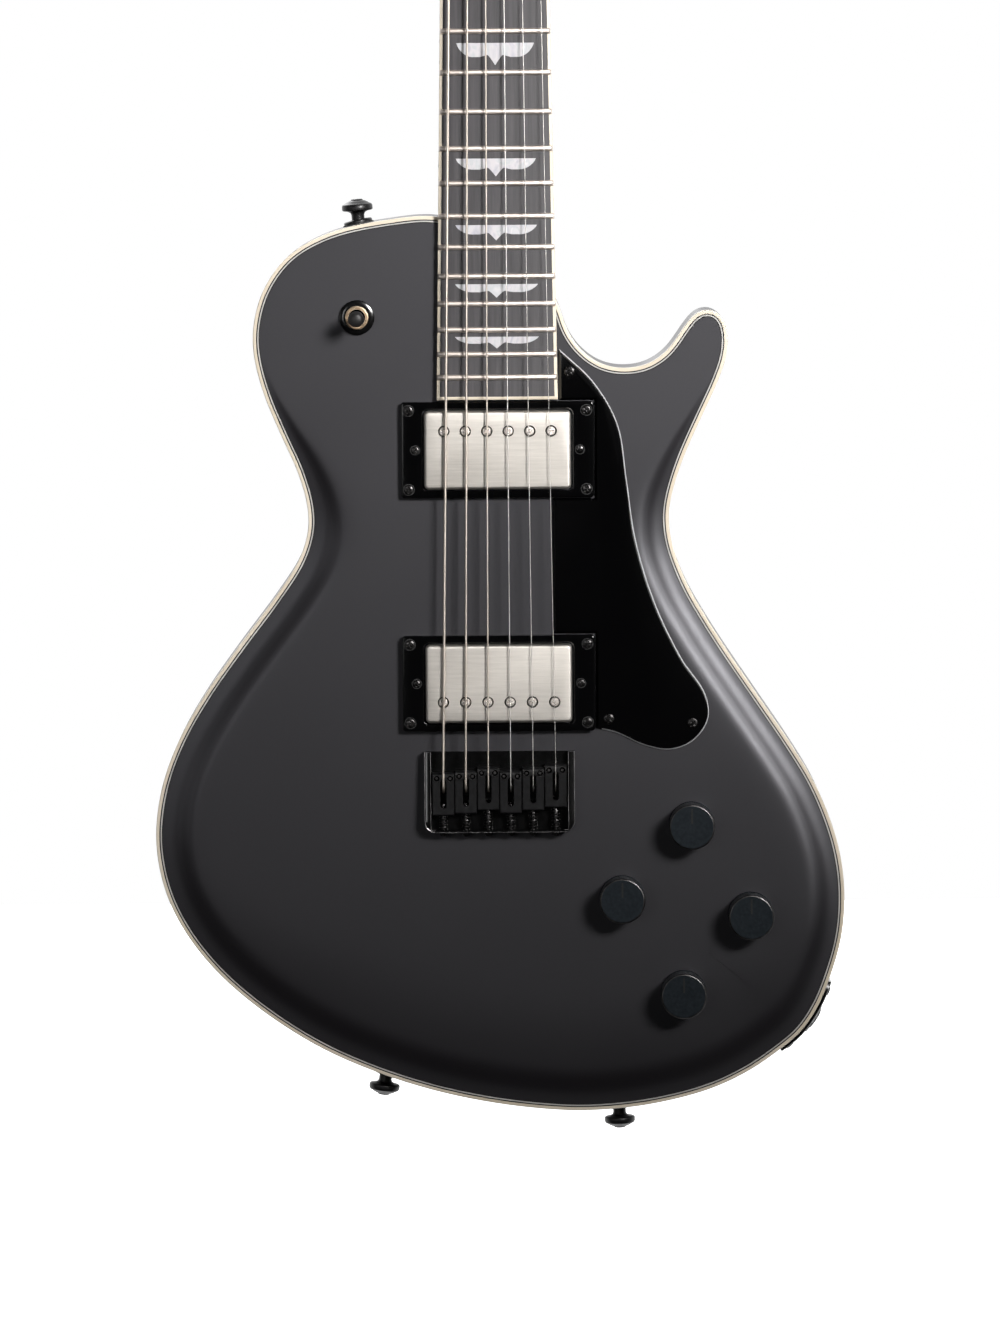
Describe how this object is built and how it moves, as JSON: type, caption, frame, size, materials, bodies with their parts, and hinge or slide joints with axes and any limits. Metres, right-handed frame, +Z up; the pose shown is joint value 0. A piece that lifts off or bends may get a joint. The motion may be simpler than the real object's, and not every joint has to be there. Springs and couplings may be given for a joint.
{
  "type": "electric guitar",
  "caption": "Single-cutaway electric guitar with a carved charcoal top, cream binding, covered humbuckers, a black pickguard and a string-through hardtail bridge.",
  "frame": {"origin": "on the flat back, on the centre line, at the scale line under the bridge saddles", "axes": "+X to the treble side, +Y out of the back so that the strings face -Y, +Z up the neck to the headstock"},
  "size_m": [0.3251, 0.0687, 0.9945],
  "materials": {
    "body_finish": "satin charcoal black lacquer",
    "binding": "cream binding",
    "neck_wood": "satin black lacquer",
    "ebony": "oiled dark fingerboard with nickel frets",
    "nut_bone": "bone",
    "gloss_black": "polished black",
    "black_metal": "black plated metal",
    "knob_metal": "dark slate anodised metal",
    "nickel": "brushed nickel",
    "steel": "plain steel",
    "string_wound": "nickel wound string",
    "circuit_board": "circuit board with potentiometers"
  },
  "bodies": {
    "guitar": {"body": "body_finish", "body_binding": "binding", "neck": "neck_wood", "fretboard": "ebony", "fretboard_binding": "binding", "nut": "nut_bone", "truss_rod": "steel", "truss_rod_cover": "gloss_black", "pickguard": "gloss_black", "neck_pickup_ring": "gloss_black", "bridge_pickup_ring": "gloss_black", "neck_pickup_cover": "nickel", "bridge_pickup_cover": "nickel", "neck_pickup_core": "black_metal", "bridge_pickup_core": "black_metal", "bridge_plate": "black_metal", "control_board": "circuit_board", "switch_body": "steel", "jack_plate": "black_metal", "jack_socket": "nickel", "control_cover": "gloss_black", "switch_cover": "gloss_black", "strap_button_upper": "black_metal", "strap_button_lower_left": "black_metal", "strap_button_lower_right": "black_metal", "string_e6": "string_wound", "tuner_housing_e6": "black_metal", "string_a5": "string_wound", "tuner_housing_a5": "black_metal", "string_d4": "string_wound", "tuner_housing_d4": "black_metal", "string_g3": "steel", "tuner_housing_g3": "black_metal", "string_b2": "steel", "tuner_housing_b2": "black_metal", "string_e1": "steel", "tuner_housing_e1": "black_metal"},
    "knob_1": {"knob_1": "knob_metal"},
    "knob_2": {"knob_2": "knob_metal"},
    "knob_3": {"knob_3": "knob_metal"},
    "knob_4": {"knob_4": "knob_metal"},
    "switch_lever": {"switch_lever": "gloss_black"},
    "saddle_e6": {"saddle_e6": "black_metal"},
    "saddle_a5": {"saddle_a5": "black_metal"},
    "saddle_d4": {"saddle_d4": "black_metal"},
    "saddle_g3": {"saddle_g3": "black_metal"},
    "saddle_b2": {"saddle_b2": "black_metal"},
    "saddle_e1": {"saddle_e1": "black_metal"},
    "tuner_button_e6": {"tuner_button_e6": "black_metal"},
    "tuner_button_a5": {"tuner_button_a5": "black_metal"},
    "tuner_button_d4": {"tuner_button_d4": "black_metal"},
    "tuner_button_g3": {"tuner_button_g3": "black_metal"},
    "tuner_button_b2": {"tuner_button_b2": "black_metal"},
    "tuner_button_e1": {"tuner_button_e1": "black_metal"},
    "tuner_post_e6": {"tuner_post_e6": "nickel"},
    "tuner_post_a5": {"tuner_post_a5": "nickel"},
    "tuner_post_d4": {"tuner_post_d4": "nickel"},
    "tuner_post_g3": {"tuner_post_g3": "nickel"},
    "tuner_post_b2": {"tuner_post_b2": "nickel"},
    "tuner_post_e1": {"tuner_post_e1": "nickel"}
  },
  "joints": [
    {"name": "knob_1_turn", "type": "hinge", "parent": "guitar", "child": "knob_1", "pos_m": [0.0902, -0.053, -0.0293], "axis": [0, -1, 0], "range_deg": [-150, 150]},
    {"name": "knob_2_turn", "type": "hinge", "parent": "guitar", "child": "knob_2", "pos_m": [0.0574, -0.053, -0.0641], "axis": [0, -1, 0], "range_deg": [-150, 150]},
    {"name": "knob_3_turn", "type": "hinge", "parent": "guitar", "child": "knob_3", "pos_m": [0.118, -0.053, -0.0722], "axis": [0, -1, 0], "range_deg": [-150, 150]},
    {"name": "knob_4_turn", "type": "hinge", "parent": "guitar", "child": "knob_4", "pos_m": [0.0862, -0.053, -0.1093], "axis": [0, -1, 0], "range_deg": [-150, 150]},
    {"name": "switch_throw", "type": "hinge", "parent": "guitar", "child": "switch_lever", "pos_m": [-0.0655, -0.04, 0.2099], "axis": [0, 0, 1], "range_deg": [-15, 15]},
    {"name": "saddle_e6_intonation", "type": "slide", "parent": "guitar", "child": "saddle_e6", "axis": [0, 0, 1], "range_m": [-0.003, 0.003], "deforming": ["string_e6"]},
    {"name": "saddle_a5_intonation", "type": "slide", "parent": "guitar", "child": "saddle_a5", "axis": [0, 0, 1], "range_m": [-0.003, 0.003], "deforming": ["string_a5"]},
    {"name": "saddle_d4_intonation", "type": "slide", "parent": "guitar", "child": "saddle_d4", "axis": [0, 0, 1], "range_m": [-0.003, 0.003], "deforming": ["string_d4"]},
    {"name": "saddle_g3_intonation", "type": "slide", "parent": "guitar", "child": "saddle_g3", "axis": [0, 0, 1], "range_m": [-0.003, 0.003], "deforming": ["string_g3"]},
    {"name": "saddle_b2_intonation", "type": "slide", "parent": "guitar", "child": "saddle_b2", "axis": [0, 0, 1], "range_m": [-0.003, 0.003], "deforming": ["string_b2"]},
    {"name": "saddle_e1_intonation", "type": "slide", "parent": "guitar", "child": "saddle_e1", "axis": [0, 0, 1], "range_m": [-0.003, 0.003], "deforming": ["string_e1"]},
    {"name": "tuner_button_e6_turn", "type": "hinge", "parent": "guitar", "child": "tuner_button_e6", "pos_m": [-0.043, -0.02074, 0.68013], "axis": [1, 0, 0], "continuous": true},
    {"name": "tuner_post_e6_turn", "type": "hinge", "parent": "guitar", "child": "tuner_post_e6", "pos_m": [-0.023, -0.03855, 0.69139], "axis": [0, 0.9848, -0.1736], "continuous": true, "deforming": ["string_e6"]},
    {"name": "tuner_button_a5_turn", "type": "hinge", "parent": "guitar", "child": "tuner_button_a5", "pos_m": [-0.0455, -0.01379, 0.71952], "axis": [1, 0, 0], "continuous": true},
    {"name": "tuner_post_a5_turn", "type": "hinge", "parent": "guitar", "child": "tuner_post_a5", "pos_m": [-0.0255, -0.03161, 0.73079], "axis": [0, 0.9848, -0.1736], "continuous": true, "deforming": ["string_a5"]},
    {"name": "tuner_button_d4_turn", "type": "hinge", "parent": "guitar", "child": "tuner_button_d4", "pos_m": [-0.048, -0.00685, 0.75891], "axis": [1, 0, 0], "continuous": true},
    {"name": "tuner_post_d4_turn", "type": "hinge", "parent": "guitar", "child": "tuner_post_d4", "pos_m": [-0.028, -0.02466, 0.77018], "axis": [0, 0.9848, -0.1736], "continuous": true, "deforming": ["string_d4"]},
    {"name": "tuner_button_g3_turn", "type": "hinge", "parent": "guitar", "child": "tuner_button_g3", "pos_m": [0.048, -0.00685, 0.75891], "axis": [1, 0, 0], "continuous": true},
    {"name": "tuner_post_g3_turn", "type": "hinge", "parent": "guitar", "child": "tuner_post_g3", "pos_m": [0.028, -0.02466, 0.77018], "axis": [0, 0.9848, -0.1736], "continuous": true, "deforming": ["string_g3"]},
    {"name": "tuner_button_b2_turn", "type": "hinge", "parent": "guitar", "child": "tuner_button_b2", "pos_m": [0.0455, -0.01379, 0.71952], "axis": [1, 0, 0], "continuous": true},
    {"name": "tuner_post_b2_turn", "type": "hinge", "parent": "guitar", "child": "tuner_post_b2", "pos_m": [0.0255, -0.03161, 0.73079], "axis": [0, 0.9848, -0.1736], "continuous": true, "deforming": ["string_b2"]},
    {"name": "tuner_button_e1_turn", "type": "hinge", "parent": "guitar", "child": "tuner_button_e1", "pos_m": [0.043, -0.02074, 0.68013], "axis": [1, 0, 0], "continuous": true},
    {"name": "tuner_post_e1_turn", "type": "hinge", "parent": "guitar", "child": "tuner_post_e1", "pos_m": [0.023, -0.03855, 0.69139], "axis": [0, 0.9848, -0.1736], "continuous": true, "deforming": ["string_e1"]}
  ],
  "couplings": [
    {"joint": "tuner_post_e6_turn", "follows": "tuner_button_e6_turn", "ratio": -0.05556},
    {"joint": "tuner_post_a5_turn", "follows": "tuner_button_a5_turn", "ratio": -0.05556},
    {"joint": "tuner_post_d4_turn", "follows": "tuner_button_d4_turn", "ratio": -0.05556},
    {"joint": "tuner_post_g3_turn", "follows": "tuner_button_g3_turn", "ratio": 0.05556},
    {"joint": "tuner_post_b2_turn", "follows": "tuner_button_b2_turn", "ratio": 0.05556},
    {"joint": "tuner_post_e1_turn", "follows": "tuner_button_e1_turn", "ratio": 0.05556}
  ]
}
